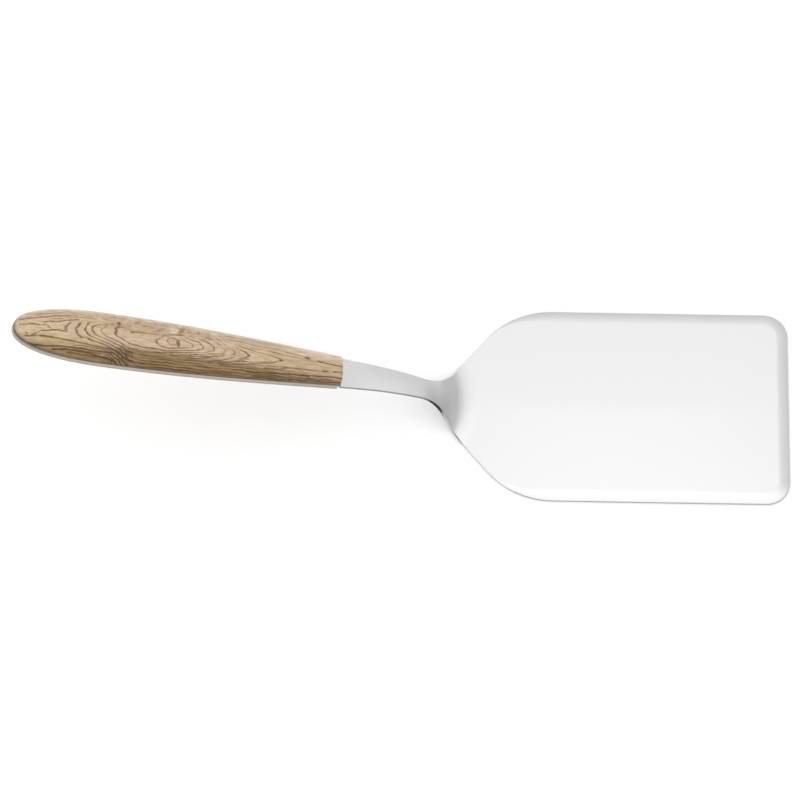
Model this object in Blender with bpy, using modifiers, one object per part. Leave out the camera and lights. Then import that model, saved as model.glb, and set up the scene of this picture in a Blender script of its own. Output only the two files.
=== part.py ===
"""Lasagna server: a cranked steel blade whose tang is held in a two-part handle.

One sheet of stainless steel makes the blade, the neck and the tang. It is modelled as it is
made: a flat blank with thinned working edges, bent over the crank's side profile. The handle
is a pale moulded base with a channel for the tang and a crowned wood scale whose keel closes
the channel. Two hidden pins pass through base, tang and scale.

Frame: origin on the resting plane under the middle of the blade's flat, +X to the front edge,
+Z up. The handle rises to the rear, along -X. Lengths are in metres.
"""

import math

import bmesh
import bpy
from mathutils import Vector

# Blade, seen from above
BLADE_WIDTH = 0.0732
BLADE_FLAT_LENGTH = 0.1110  # from the fold line to the front edge
BLADE_SIDE_LENGTH = 0.0997  # from the front edge to where side and shoulder lines cross
FRONT_CORNER_RADIUS = 0.0086
SHOULDER_ANGLE = math.radians(49.3)
SHOULDER_RADIUS = 0.0315

# Sheet and its working edges
SHEET_THICKNESS = 0.0015
EDGE_THICKNESS = 0.0008
EDGE_BAND_WIDTH = 0.0042
EDGE_BREAK = 0.00012

# Neck, seen from above
NECK_WAIST_WIDTH = 0.0068  # where the neck's and the shoulders' lines cross
NECK_REAR_WIDTH = 0.0108
NECK_FILLET_RADIUS = 0.0096
NECK_STEP_RADIUS = 0.0004

# Crank, seen from the side: eased fold, riser, crest and neck, each starting where the last ends
FOLD_EASE_RADIUS = 0.0320
FOLD_EASE_ANGLE = math.radians(12.0)
FOLD_RADIUS = 0.0060
RISER_ANGLE = math.radians(49.9)
RISER_LENGTH = 0.0073
CREST_RADIUS = 0.0383
CREST_ANGLE = math.radians(33.2)
NECK_ARC_RADIUS = 0.0947
HANDLE_ANGLE = math.radians(18.4)
NECK_STRAIGHT = 0.0070

# Handle
HANDLE_LENGTH = 0.1193
HANDLE_FRONT_WIDTH = 0.0108
HANDLE_WIDTH = 0.0188
HANDLE_WIDEST_AT = 0.0859  # from the handle's front end
HANDLE_CORNER_RADIUS = 0.0006
BUTT_POWER = 2.3
SCALE_HEIGHT_BUTT = 0.0045
SCALE_HEIGHT_FRONT = 0.0031
CROWN_POWER = 2.1
BASE_DEPTH = 0.0049
BASE_EDGE_RADIUS = 0.0016
SEAM_EDGE_BREAK = 0.0002

# Tang and the pins that hold it
TANG_WIDTH = 0.0064
TANG_LENGTH = 0.0780
TANG_CORNER_RADIUS = 0.0024
TANG_SEAT_DEPTH = 0.0009  # from the handle's seam down to the tang's top
PIN_DIAMETER = 0.0026
FRONT_PIN_AT = 0.0160  # from the handle's front end
REAR_PIN_AT = 0.0620
PIN_REACH_IN_BASE = 0.0011
PIN_REACH_IN_SCALE = 0.0015
PIN_CHAMFER = 0.0003

FIT_GAP = 0.0003  # between pieces that seat on each other
OVERRUN = 0.0020  # of a cutter past the face that it cuts

# Facets
ARC_STEPS = 10
SHOULDER_STEPS = 14
SMALL_ARC_STEPS = 3
FOLD_EASE_STEPS = 4
FOLD_STEPS = 8
CREST_STEPS = 7
NECK_STEPS = 6
HANDLE_SIDE_STEPS = 14
BUTT_STEPS = 14
CROWN_STEPS = 8
PIN_SIDES = 24
EDGE_BAND_SHARES = (0.0, 0.35, 0.7, 1.0)
SMOOTH_ANGLE = math.radians(30.0)  # below which neighbouring facets are shaded as one surface

FRONT_X = BLADE_FLAT_LENGTH / 2
FOLD_X = -BLADE_FLAT_LENGTH / 2
SHOULDER_X = FRONT_X - BLADE_SIDE_LENGTH
UP = Vector((0.0, 0.0, 1.0))


def clear_scene():
    for obj in list(bpy.data.objects):
        bpy.data.objects.remove(obj, do_unlink=True)


def new_collection(name):
    collection = bpy.data.collections.new(name)
    bpy.context.scene.collection.children.link(collection)
    return collection


def principled(name, colour, metallic, roughness):
    material = bpy.data.materials.new(name)
    material.use_nodes = True
    shader = material.node_tree.nodes["Principled BSDF"]
    shader.inputs["Base Color"].default_value = (*colour, 1.0)
    shader.inputs["Metallic"].default_value = metallic
    shader.inputs["Roughness"].default_value = roughness
    return material


def rounded(corners):
    """Points of an open outline through (x, y, radius, steps), each inner corner rounded."""
    points = [Vector(corners[0][:2])]
    for before, corner, after in zip(corners, corners[1:], corners[2:]):
        here = Vector(corner[:2])
        back = (Vector(before[:2]) - here).normalized()
        onward = (Vector(after[:2]) - here).normalized()
        radius, steps = corner[2:]
        half_angle = back.angle(onward) / 2
        centre = here + (back + onward).normalized() * radius / math.sin(half_angle)
        reach = radius / math.tan(half_angle)
        first = (here + back * reach - centre).normalized()
        last = (here + onward * reach - centre).normalized()
        for step in range(steps + 1):
            points.append(centre + first.slerp(last, step / steps) * radius)
    points.append(Vector(corners[-1][:2]))
    return points


def mirrored(half):
    """Closed outline from a half that starts and ends on the X axis."""
    return half + [Vector((p.x, -p.y)) for p in reversed(half[1:-1])]


def inward(outline, distance_at):
    """The outline moved inwards, each point by its own distance."""
    moved = []
    for before, here, after in zip(outline[-1:] + outline[:-1], outline, outline[1:] + outline[:1]):
        first = (here - before).normalized()
        second = (after - here).normalized()
        first_normal = Vector((first.y, -first.x))
        second_normal = Vector((second.y, -second.x))
        mitre = (first_normal + second_normal) / (1.0 + first_normal.dot(second_normal))
        moved.append(here + mitre * distance_at(here))
    return moved


def stacked(rings):
    """A closed mesh from rings with as many points each: walls between them and two caps."""
    mesh = bmesh.new()
    loops = [[mesh.verts.new(point) for point in ring] for ring in rings]
    for lower, upper in zip(loops, loops[1:]):
        around = zip(lower, lower[1:] + lower[:1], upper[1:] + upper[:1], upper)
        for corners in around:
            mesh.faces.new(corners)
    mesh.faces.new(loops[0])
    mesh.faces.new(loops[-1])
    bmesh.ops.recalc_face_normals(mesh, faces=mesh.faces[:])
    return mesh


def placed(name, mesh, collection, material=None, parent=None):
    """An object made from a bmesh, with its round surfaces shaded smooth."""
    data = bpy.data.meshes.new(name)
    mesh.to_mesh(data)
    mesh.free()
    data.shade_smooth()
    data.set_sharp_from_angle(angle=SMOOTH_ANGLE)
    if material:
        data.materials.append(material)
    obj = bpy.data.objects.new(name, data)
    collection.objects.link(obj)
    obj.parent = parent
    return obj


def as_cutter(obj):
    obj.hide_render = True
    obj.display_type = "WIRE"
    return obj


def combine(obj, other, operation):
    modifier = obj.modifiers.new(f"{operation.lower()} {other.name}", "BOOLEAN")
    modifier.operation = operation
    modifier.object = other


def crank_stations():
    """Where the blank is bent: (x on the blank, point on the underside, normal), front to rear.

    The blank's x is the plan x as far as the handle, and the length along the tang after it.
    """
    stations = [(FRONT_X, Vector((FRONT_X, 0.0, 0.0)), UP), (FOLD_X, Vector((FOLD_X, 0.0, 0.0)), UP)]
    bends = (
        (FOLD_EASE_RADIUS, FOLD_EASE_ANGLE, FOLD_EASE_STEPS, 0.0),
        (FOLD_RADIUS, RISER_ANGLE, FOLD_STEPS, RISER_LENGTH),
        (CREST_RADIUS, CREST_ANGLE, CREST_STEPS, 0.0),
        (NECK_ARC_RADIUS, HANDLE_ANGLE, NECK_STEPS, NECK_STRAIGHT),
    )
    point = Vector((FOLD_X, 0.0, 0.0))
    angle = 0.0
    for radius, end_angle, steps, straight in bends:
        turn = (end_angle - angle) / steps
        for _ in range(steps):
            point = point + radius * Vector(
                (
                    -abs(math.sin(angle + turn) - math.sin(angle)),
                    0.0,
                    abs(math.cos(angle + turn) - math.cos(angle)),
                )
            )
            angle += turn
            stations.append((point.x, point, leaning(angle)))
        if straight:
            point = point + rising(angle) * straight
            stations.append((point.x, point, leaning(angle)))
    stations.append(
        (point.x - TANG_LENGTH, point + rising(HANDLE_ANGLE) * TANG_LENGTH, leaning(HANDLE_ANGLE))
    )
    return stations


def rising(angle):
    """Direction to the rear and up at this angle to the resting plane."""
    return Vector((-math.cos(angle), 0.0, math.sin(angle)))


def leaning(angle):
    """Normal of a sheet that rises to the rear at this angle."""
    return Vector((math.sin(angle), 0.0, math.cos(angle)))


def bent(stations, co):
    """Place of a point of the flat blank once the blank is bent over the crank."""
    for front, rear in zip(stations, stations[1:]):
        if co.x >= rear[0]:
            break
    share = (co.x - rear[0]) / (front[0] - rear[0])
    on_underside = rear[1].lerp(front[1], share)
    normal = rear[2].lerp(front[2], share)
    return on_underside + normal * co.z + Vector((0.0, co.y, 0.0))


def tang_outline(front_x, clearance):
    """Half outline of the tang, grown by a clearance, from its rear end to front_x."""
    half_width = TANG_WIDTH / 2 + clearance
    rear_x = -TANG_LENGTH - clearance
    return [
        (rear_x, 0.0),
        (rear_x, half_width, TANG_CORNER_RADIUS + clearance, ARC_STEPS),
        (front_x, half_width),
    ]


def blank_outline(handle_x):
    """Closed outline of the flat blank: tang, step at the handle, neck, shoulders and blade."""
    blade_half = BLADE_WIDTH / 2
    waist_half = NECK_WAIST_WIDTH / 2
    waist_x = SHOULDER_X - (blade_half - waist_half) / math.tan(SHOULDER_ANGLE)
    step_x = handle_x + FIT_GAP
    tang_rear, tang_corner, _ = tang_outline(0.0, 0.0)
    half = rounded(
        [
            (handle_x + tang_rear[0], tang_rear[1]),
            (handle_x + tang_corner[0], *tang_corner[1:]),
            (step_x, TANG_WIDTH / 2, NECK_STEP_RADIUS, SMALL_ARC_STEPS),
            (step_x, NECK_REAR_WIDTH / 2, NECK_STEP_RADIUS, SMALL_ARC_STEPS),
            (waist_x, waist_half, NECK_FILLET_RADIUS, ARC_STEPS),
            (SHOULDER_X, blade_half, SHOULDER_RADIUS, SHOULDER_STEPS),
            (FRONT_X, blade_half, FRONT_CORNER_RADIUS, ARC_STEPS),
            (FRONT_X, 0.0),
        ]
    )
    return mirrored(half)


def working_share(x):
    """How far the thinned working edge has grown at x: from 0 on the shoulders to 1 on the sides."""
    reach = SHOULDER_RADIUS * math.tan(SHOULDER_ANGLE / 2)
    start = SHOULDER_X - reach * math.cos(SHOULDER_ANGLE)
    end = SHOULDER_X + reach
    share = min(max((x - start) / (end - start), 0.0), 1.0)
    return share * share * (3.0 - 2.0 * share)


def make_blade_and_neck(collection, material, pin_bores):
    """The steel piece: a flat blank with thinned working edges, bent over the crank."""
    stations = crank_stations()
    outline = blank_outline(stations[-2][0])
    rings = [[Vector((p.x, p.y, 0.0)) for p in outline]]
    for band_share in EDGE_BAND_SHARES:

        def inset(p):
            width = EDGE_BREAK + (EDGE_BAND_WIDTH - EDGE_BREAK) * working_share(p.x)
            return width * band_share

        def height(p):
            edge_drop = SHEET_THICKNESS - EDGE_THICKNESS
            drop = EDGE_BREAK + (edge_drop - EDGE_BREAK) * working_share(p.x)
            return SHEET_THICKNESS - drop * (1.0 - band_share) ** 2

        ring = inward(outline, inset)
        rings.append([Vector((q.x, q.y, height(p))) for p, q in zip(outline, ring)])
    mesh = stacked(rings)
    for x, _, _ in stations[1:-1]:
        everything = mesh.verts[:] + mesh.edges[:] + mesh.faces[:]
        bmesh.ops.bisect_plane(mesh, geom=everything, plane_co=(x, 0.0, 0.0), plane_no=(1.0, 0.0, 0.0))
    for vert in mesh.verts:
        vert.co = bent(stations, vert.co)
    blade = placed("blade_and_neck", mesh, collection, material)
    for bore in pin_bores:
        combine(blade, bore, "DIFFERENCE")
    return blade


def handle_frame(collection):
    """An empty at the handle's front end, on the seam, with the handle running along its -X."""
    _, underside, normal = crank_stations()[-2]
    frame = bpy.data.objects.new("handle_frame", None)
    frame.location = underside + normal * (SHEET_THICKNESS + TANG_SEAT_DEPTH)
    frame.rotation_euler.y = HANDLE_ANGLE
    collection.objects.link(frame)
    return frame


def handle_outline():
    """Closed plan outline of the handle: square front end, swelling sides and round butt."""
    front_half = HANDLE_FRONT_WIDTH / 2
    widest_half = HANDLE_WIDTH / 2
    butt_length = HANDLE_LENGTH - HANDLE_WIDEST_AT
    half = [Vector((-HANDLE_LENGTH, 0.0))]
    for step in range(1, BUTT_STEPS + 1):
        angle = math.pi / 2 * step / BUTT_STEPS
        along = math.cos(angle) ** (2.0 / BUTT_POWER)
        across = math.sin(angle) ** (2.0 / BUTT_POWER)
        half.append(Vector((-HANDLE_WIDEST_AT - butt_length * along, widest_half * across)))
    for step in range(1, HANDLE_SIDE_STEPS):
        from_front = 1.0 - step / HANDLE_SIDE_STEPS
        swell = math.sin(math.pi / 2 * from_front)
        half.append(
            Vector((-HANDLE_WIDEST_AT * from_front, front_half + (widest_half - front_half) * swell))
        )
    front_corner = rounded(
        [half[-1][:], (0.0, front_half, HANDLE_CORNER_RADIUS, SMALL_ARC_STEPS), (0.0, 0.0)]
    )
    return mirrored(half + front_corner[1:])


def handle_ring(outline, keep, height_at):
    """The outline drawn in towards the handle's spine, keeping this share of its width."""
    ring = []
    for p in outline:
        x = p.x
        if x < -HANDLE_WIDEST_AT:
            x = -HANDLE_WIDEST_AT + (x + HANDLE_WIDEST_AT) * keep
        ring.append(Vector((x, p.y * keep, height_at(x))))
    return ring


def scale_height(x):
    """Height of the wood scale's crown above the seam."""
    return SCALE_HEIGHT_FRONT + (SCALE_HEIGHT_BUTT - SCALE_HEIGHT_FRONT) * -x / HANDLE_LENGTH


def make_handle_scale(collection, cutters, material, frame, pin_bores):
    """The wood scale: crowned above, flat at the seam, with a keel that closes the tang channel."""
    outline = handle_outline()
    edge_keep = 1.0 - SEAM_EDGE_BREAK / (HANDLE_WIDTH / 2)
    rings = [handle_ring(outline, edge_keep, lambda x: FIT_GAP)]
    for step in range(CROWN_STEPS):
        angle = math.pi / 2 * step / CROWN_STEPS
        keep = math.cos(angle) ** (2.0 / CROWN_POWER)
        rise = math.sin(angle) ** (2.0 / CROWN_POWER)
        low = FIT_GAP + SEAM_EDGE_BREAK
        rings.append(handle_ring(outline, keep, lambda x: low + (scale_height(x) - low) * rise))
    scale = placed("handle_scale", stacked(rings), collection, material, frame)

    keel_half = rounded(tang_outline(-FIT_GAP, 0.0))
    keel_outline = mirrored(keel_half + [Vector((-FIT_GAP, 0.0))])
    keel_bottom = FIT_GAP - TANG_SEAT_DEPTH
    keel_top = FIT_GAP + PIN_REACH_IN_SCALE
    keel_rings = [[Vector((p.x, p.y, z)) for p in keel_outline] for z in (keel_bottom, keel_top)]
    keel = as_cutter(placed("scale_keel", stacked(keel_rings), cutters, parent=frame))
    combine(scale, keel, "UNION")
    for bore in pin_bores:
        combine(scale, bore, "DIFFERENCE")
    return scale


def make_handle_base(collection, cutters, material, frame, pin_bores):
    """The pale base: an even wall round the handle, a rounded belly and the tang's channel."""
    outline = handle_outline()
    widest_half = HANDLE_WIDTH / 2
    wall_depth = BASE_DEPTH - BASE_EDGE_RADIUS
    rings = [handle_ring(outline, 1.0 - SEAM_EDGE_BREAK / widest_half, lambda x: 0.0)]
    rings.append(handle_ring(outline, 1.0, lambda x: -SEAM_EDGE_BREAK))
    for step in range(CROWN_STEPS + 1):
        angle = math.pi / 2 * step / CROWN_STEPS
        keep = 1.0 - BASE_EDGE_RADIUS * (1.0 - math.cos(angle)) / widest_half
        depth = wall_depth + BASE_EDGE_RADIUS * math.sin(angle)
        rings.append(handle_ring(outline, keep, lambda x: -depth))
    base = placed("handle_base", stacked(rings), collection, material, frame)

    channel_half = rounded(tang_outline(OVERRUN, FIT_GAP))
    channel_outline = mirrored(channel_half + [Vector((OVERRUN, 0.0))])
    floor = -(TANG_SEAT_DEPTH + SHEET_THICKNESS + FIT_GAP)
    channel_rings = [[Vector((p.x, p.y, z)) for p in channel_outline] for z in (floor, OVERRUN)]
    channel = as_cutter(placed("tang_channel", stacked(channel_rings), cutters, parent=frame))
    combine(base, channel, "DIFFERENCE")
    for bore in pin_bores:
        combine(base, bore, "DIFFERENCE")
    return base


def cylinder(diameter, bottom, top):
    """A round bar along Z between two heights."""
    mesh = bmesh.new()
    radius = diameter / 2
    bmesh.ops.create_cone(
        mesh, cap_ends=True, segments=PIN_SIDES, radius1=radius, radius2=radius, depth=top - bottom
    )
    bmesh.ops.translate(mesh, verts=mesh.verts[:], vec=(0.0, 0.0, (top + bottom) / 2))
    return mesh


def pin_ends():
    """Lowest and highest point of a tang pin, from the handle's seam."""
    channel_floor = -(TANG_SEAT_DEPTH + SHEET_THICKNESS + FIT_GAP)
    return channel_floor - PIN_REACH_IN_BASE, FIT_GAP + PIN_REACH_IN_SCALE


def make_pin_bore(name, at, cutters, frame):
    """The hole that one pin fills, through the tang and blind in base and scale."""
    bottom, top = pin_ends()
    mesh = cylinder(PIN_DIAMETER + 2 * FIT_GAP, bottom - FIT_GAP, top + FIT_GAP)
    bore = as_cutter(placed(name, mesh, cutters, parent=frame))
    bore.location.x = -at
    return bore


def make_tang_pin(name, at, collection, material, frame):
    """A hidden pin with chamfered ends, standing square to the tang."""
    pin = placed(name, cylinder(PIN_DIAMETER, *pin_ends()), collection, material, frame)
    pin.location.x = -at
    chamfer = pin.modifiers.new("chamfer", "BEVEL")
    chamfer.width = PIN_CHAMFER
    chamfer.segments = 1
    chamfer.limit_method = "ANGLE"
    chamfer.angle_limit = SMOOTH_ANGLE
    return pin


def main():
    clear_scene()
    server = new_collection("lasagna_server")
    cutters = new_collection("cutters")
    steel = principled("satin_steel", (0.78, 0.78, 0.79), 1.0, 0.28)
    wood = principled("light_wood", (0.50, 0.35, 0.21), 0.0, 0.42)
    pale = principled("pale_beige", (0.66, 0.58, 0.48), 0.0, 0.40)
    bright = principled("pin_steel", (0.62, 0.62, 0.63), 1.0, 0.35)

    frame = handle_frame(server)
    places = {"front": FRONT_PIN_AT, "rear": REAR_PIN_AT}
    bores = [make_pin_bore(f"pin_bore_{end}", at, cutters, frame) for end, at in places.items()]
    make_blade_and_neck(server, steel, bores)
    make_handle_scale(server, cutters, wood, frame, bores)
    make_handle_base(server, cutters, pale, frame, bores)
    for end, at in places.items():
        make_tang_pin(f"tang_pin_{end}", at, server, bright, frame)


main()
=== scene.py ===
"""Looks of the lasagna server: fine steel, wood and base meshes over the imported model, their
materials, the light and the camera.

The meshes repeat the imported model's own formulas with finer steps, so they lie where its nodes
lie, and they add small rounds along edges and a fold line that bows to the rear. Frame: origin
on the resting plane under the middle of the blade's flat, +X to the front edge, +Z up. Lengths
are in metres.
"""

import math

import bmesh
import bpy
from mathutils import Matrix, Vector


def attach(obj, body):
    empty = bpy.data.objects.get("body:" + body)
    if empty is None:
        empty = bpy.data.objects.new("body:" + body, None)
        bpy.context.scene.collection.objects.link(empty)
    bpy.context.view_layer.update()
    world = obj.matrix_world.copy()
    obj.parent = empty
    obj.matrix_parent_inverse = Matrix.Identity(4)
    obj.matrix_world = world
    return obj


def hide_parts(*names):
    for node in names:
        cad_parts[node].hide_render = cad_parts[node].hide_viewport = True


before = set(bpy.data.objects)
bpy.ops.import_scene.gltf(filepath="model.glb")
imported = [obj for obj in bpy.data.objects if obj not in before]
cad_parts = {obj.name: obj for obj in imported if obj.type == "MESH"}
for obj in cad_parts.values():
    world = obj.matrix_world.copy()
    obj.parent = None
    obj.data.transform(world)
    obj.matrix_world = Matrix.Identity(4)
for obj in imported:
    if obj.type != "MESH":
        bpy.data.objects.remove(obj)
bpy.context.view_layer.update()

# Blade, seen from above
BLADE_WIDTH = 0.0732
BLADE_FLAT_LENGTH = 0.1110
BLADE_SIDE_LENGTH = 0.0997
FRONT_CORNER_RADIUS = 0.0086
SHOULDER_ANGLE = math.radians(49.3)
SHOULDER_RADIUS = 0.0315

# Sheet and its working edges
SHEET_THICKNESS = 0.0015
EDGE_THICKNESS = 0.0008
EDGE_BAND_WIDTH = 0.0042
EDGE_BREAK = 0.00012
EDGE_CORNER = 0.00018  # radius of the rounds along the thinned edges
CUT_CORNER = 0.00005  # radius of the rounds along the neck and the tang
LOWER_ROUND_DEGREES = (0, 30, 60, 90)  # where the points of these rounds lie along their arcs
UPPER_ROUND_DEGREES = (0, 20, 40, 60)
BAND_POWER = 1.5  # the band falls off as this power of the way from its inner side to its rim
GUARD_WIDTH = 0.0003  # a flat strip inside the band, so that its shading ends there

# Neck, seen from above
NECK_WAIST_WIDTH = 0.0068
NECK_REAR_WIDTH = 0.0108
NECK_FILLET_RADIUS = 0.0096
NECK_STEP_RADIUS = 0.0004

# Crank, seen from the side
FOLD_EASE_RADIUS = 0.0320
FOLD_EASE_ANGLE = math.radians(12.0)
FOLD_RADIUS = 0.0060
RISER_ANGLE = math.radians(49.9)
RISER_LENGTH = 0.0073
CREST_RADIUS = 0.0383
CREST_ANGLE = math.radians(33.2)
NECK_ARC_RADIUS = 0.0947
HANDLE_ANGLE = math.radians(18.4)
NECK_STRAIGHT = 0.0070
FOLD_BOW = 18.0  # how far the fold line lags to the rear, over the square of the way from its middle
BOW_REACH = (-0.0850, -0.0700)  # the places along X between which the neck takes up the bow
BOW_CUT_PITCH = 0.0010  # of the cuts that let the sheet follow the bow

# Handle
HANDLE_LENGTH = 0.1193
HANDLE_FRONT_WIDTH = 0.0108
HANDLE_WIDTH = 0.0188
HANDLE_WIDEST_AT = 0.0859
HANDLE_CORNER_RADIUS = 0.0006
BUTT_POWER = 2.3
SCALE_HEIGHT_BUTT = 0.0045
SCALE_HEIGHT_FRONT = 0.0031
CROWN_POWER = 2.1
BASE_DEPTH = 0.0049
BASE_EDGE_RADIUS = 0.0020
SEAM_EDGE_BREAK = 0.0002
FRONT_EDGE_RADIUS = 0.0004

# Tang
TANG_WIDTH = 0.0064
TANG_LENGTH = 0.0780
TANG_CORNER_RADIUS = 0.0024
TANG_SEAT_DEPTH = 0.0009
FIT_GAP = 0.0003
OVERRUN = 0.0020

# Steps of the fine meshes
ARC_STEPS = 28
SHOULDER_STEPS = 44
SMALL_ARC_STEPS = 6
FOLD_EASE_STEPS = 16
FOLD_STEPS = 26
CREST_STEPS = 20
NECK_STEPS = 26
BAND_STEPS = 14
HANDLE_SIDE_STEPS = 48
BUTT_STEPS = 48
CROWN_STEPS = 30
SMOOTH_ANGLE = math.radians(35.0)
CUT_LEVELS = range(1, len(LOWER_ROUND_DEGREES + UPPER_ROUND_DEGREES))  # walls that are cut steel

# Camera, from the outline in the photograph
PICTURE = 800
VIEW_ELEVATION = math.radians(68.70)
VIEW_ROLL = math.radians(-0.947)
VIEW_DISTANCE = 1.55
VIEW_TARGET = Vector((-0.0849, 0.0013, 0.0))
FOCAL_PIXELS = 4282.4
SENSOR = 36.0
HALF_PIXEL = 0.5
CAMERA_CLIP = (0.01, 50.0)

# Light
SKY_UPPER = 0.87
SKY_HORIZON = 0.70
SKY_CLEAR_SINE = 0.45  # sine of the elevation above which the sky is even
CAMERA_SIDE_SHARES = (-0.85, -0.25)  # the Y share of directions between which the sky brightens
CAMERA_SIDE_DIMMING = 0.35
SOFTBOX_HEIGHT = 0.75
SOFTBOX_X = (-1.30, 0.86)
SOFTBOX_WING = 0.50  # how much further its right end reaches in a strip nearer the camera
WING_LEFT = 0.17  # the place along X where that reach begins
WING_Y = ((-0.55, -0.40), (0.14, 0.04))  # the strip fades between these places on either side
SOFTBOX_Y = (-1.30, 0.85)
SOFTBOX_GAIN = 0.485  # what it adds to the sky where both its shares are 1
FLOOR_SIZE = 12.0
FLOOR_DROP = 0.0001
FLOOR_LIFT = 0.055  # strength of the floor's own faint glow
WHITE = (1.0, 1.0, 1.0)
BLACK = (0.0, 0.0, 0.0)

# The softbox's brightness: (place in metres, share of its gain) along Y and along X
SOFTBOX_SHARES_Y = (
    (-1.30, 0.0), (-0.90, 0.95), (-0.15, 1.04), (0.05, 1.15), (0.14, 1.10), (0.24, 0.97),
    (0.29, 0.77), (0.346, 0.58), (0.46, 0.58), (0.55, 0.59), (0.62, 0.50), (0.70, 0.12), (0.76, 0.0),
    (0.85, 0.0),
)
SOFTBOX_SHARES_X = (
    (-1.30, 0.0), (-0.90, 1.0), (0.02, 1.03), (0.12, 1.24), (0.17, 1.16), (0.21, 0.80), (0.26, 0.36),
    (0.31, 0.10), (0.36, 0.0),
)

# How much painted reflection brightens the neck and painted shade darkens the riser towards their near
# side, for each place along X
NECK_PAINTED_LIGHT_SHARES = (
    (-0.1100, -0.05), (-0.1040, 0.0), (-0.0985, 0.07), (-0.0920, 0.13), (-0.0820, 0.08),
    (-0.0760, -0.04), (-0.0720, -0.21), (-0.0670, -0.12), (-0.0620, 0.0), (0.0600, 0.0),
)
NECK_PAINTED_LIGHT_REACH = 0.0040

# Reflectance of the cut edge along X, with painted shade that makes it nearly black at the crank
CUT_EDGE_PAINTED_SHADE_SHARES = (
    (-0.1100, 0.28), (-0.0800, 0.24), (-0.0750, 0.16), (-0.0735, 0.03), (-0.0708, 0.03),
    (-0.0693, 0.50), (-0.0658, 0.55), (-0.0650, 0.32), (-0.0634, 0.32), (-0.0622, 0.72),
    (-0.0480, 0.72), (-0.0415, 0.50), (0.0600, 0.48),
)

# Wood grain on the handle, in millimetres from its front end and across it from its middle line.
# The growth rings lie round an eye like the contour lines of a long hill.
MILLIMETRE = 0.001
HEART_LINE = (
    (0, -0.5), (12, -0.5), (23, -0.3), (35, -0.2), (40, 0), (52, 0.2), (58, 0.1),
    (64, 0.1), (70, -0.2), (76, -0.4), (80, 0.1), (84, 0.9), (92, 1.1), (95, 0.9),
    (98, 0.1), (102, 0.2), (110, 0.6), (119.3, 0),
)
RINGS_ALONG = (  # (place on the heart line, rings between there and the eye)
    (0, 8.8), (12, 8.45), (23.2, 8), (35, 7), (40.4, 6), (43.8, 5), (47.9, 4),
    (51.8, 3), (55.8, 2), (61, 1), (63.2, 0.4), (65.2, 1), (68.7, 2), (83.8, 3),
    (88.9, 4), (92.1, 5), (94.6, 6), (97.9, 7), (101.6, 8), (109.5, 9), (117, 10),
    (119.3, 10.5),
)
RINGS_ACROSS = (  # (place across at the eye, rings between there and the heart line)
    (-13.4, 16), (-11, 13), (-8.6, 10), (-7.8, 9), (-7, 8), (-6.2, 7), (-5.1, 6),
    (-4.3, 5), (-3.3, 4), (-2.6, 3), (-1.8, 2), (-0.9, 1), (0, 0),
    (1, 1), (2, 2), (3.1, 3), (4.1, 4), (5.1, 5), (6.1, 6), (7.1, 7), (9.5, 9.4),
)
RING_CROWDING = (  # how much closer the rings lie below the heart line than at the eye
    (0, 1.42), (30, 1.42), (50, 1.40), (57, 1.20), (63, 1), (73, 0.72), (83, 0.85),
    (90, 1.05), (97, 0.9), (119.3, 0.9),
)
UPPER_CROWDING = (  # the same above the heart line
    (0, 1.7), (35, 1.7), (42, 1.6), (46, 1.15), (50, 0.95), (57, 0.95), (60, 0.65),
    (64, 0.62), (70, 0.65), (77, 0.52), (83.5, 0.30), (87, 0.80), (90, 1.2), (94, 0.95),
    (119.3, 1),
)
TIP_WIDTHS = (  # half the width of a line where it turns round on the heart line, in rings
    (0, 0.06), (23.2, 0.07), (35, 0.11), (40.4, 0.16), (52, 0.17), (61, 0.13), (68.7, 0.12),
    (83.8, 0.10), (88.9, 0.16), (94, 0.22), (101.6, 0.18), (119.3, 0.12),
)
TIP_STRENGTHS = (  # how dark the rings are where they turn round on the heart line
    (0, 0.5), (20, 0.8), (23.5, 1), (33, 0.9), (36, 1), (40.4, 0.85), (43.8, 0.4),
    (48, 0.75), (52, 0.8), (55.8, 0.65), (60, 0.6), (66, 0.5), (68.7, 0.8), (80, 0.9),
    (84, 1), (88.9, 0.5), (92.1, 1), (94.6, 1), (97.9, 0.9), (101.6, 0.8), (106, 0.3),
    (119.3, 0.3),
)
EDGE_LINE = (  # half the handle's width
    (0, 5.4), (20, 6.83), (40, 8.07), (60, 8.95), (85.9, 9.4), (103, 8.9), (112, 7.3),
    (119.3, 3),
)
BROWN_LINE = (  # the middle of the step from the light to the brown side of the wood
    (0, -3.7), (30, -3.5), (60, -3.3), (75, -3.5), (86, -4.4), (92, -5.4), (110, -5.6),
    (119.3, -4.6),
)
BROWN_SPREADS = ((0, 1.9), (78, 1.9), (90, 3.4), (119.3, 3))  # half the width of that step
RING_GAPS = (  # where rings fade: areas, (share, (measure, none up to here, full from here), ...)
    (1, ("rings", 1.6, 1.4)),
    (0.8, ("above", 2.6, 3.6), ("along", 42, 50), ("along", 90, 84)),
    (0.8, ("above", 2.8, 3.6), ("along", 46, 42)),
    (1, ("above", 2.4, 3.2), ("along", 86, 89)),
    (0.8, ("rings", 6.5, 6.8), ("rings", 7.5, 7.2), ("sideways", 0.10, 0.30), ("along", 60, 45)),
    (1, ("rings", 2.6, 2.4), ("above", 0.8, 1.3), ("along", 60, 61.5)),
    (1, ("rings", 7.35, 7.6), ("above", -0.6, -1.4), ("along", 84, 90)),
    (1, ("along", 103, 104.5)),
    (0.6, ("along", 19, 12)),
)
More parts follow.
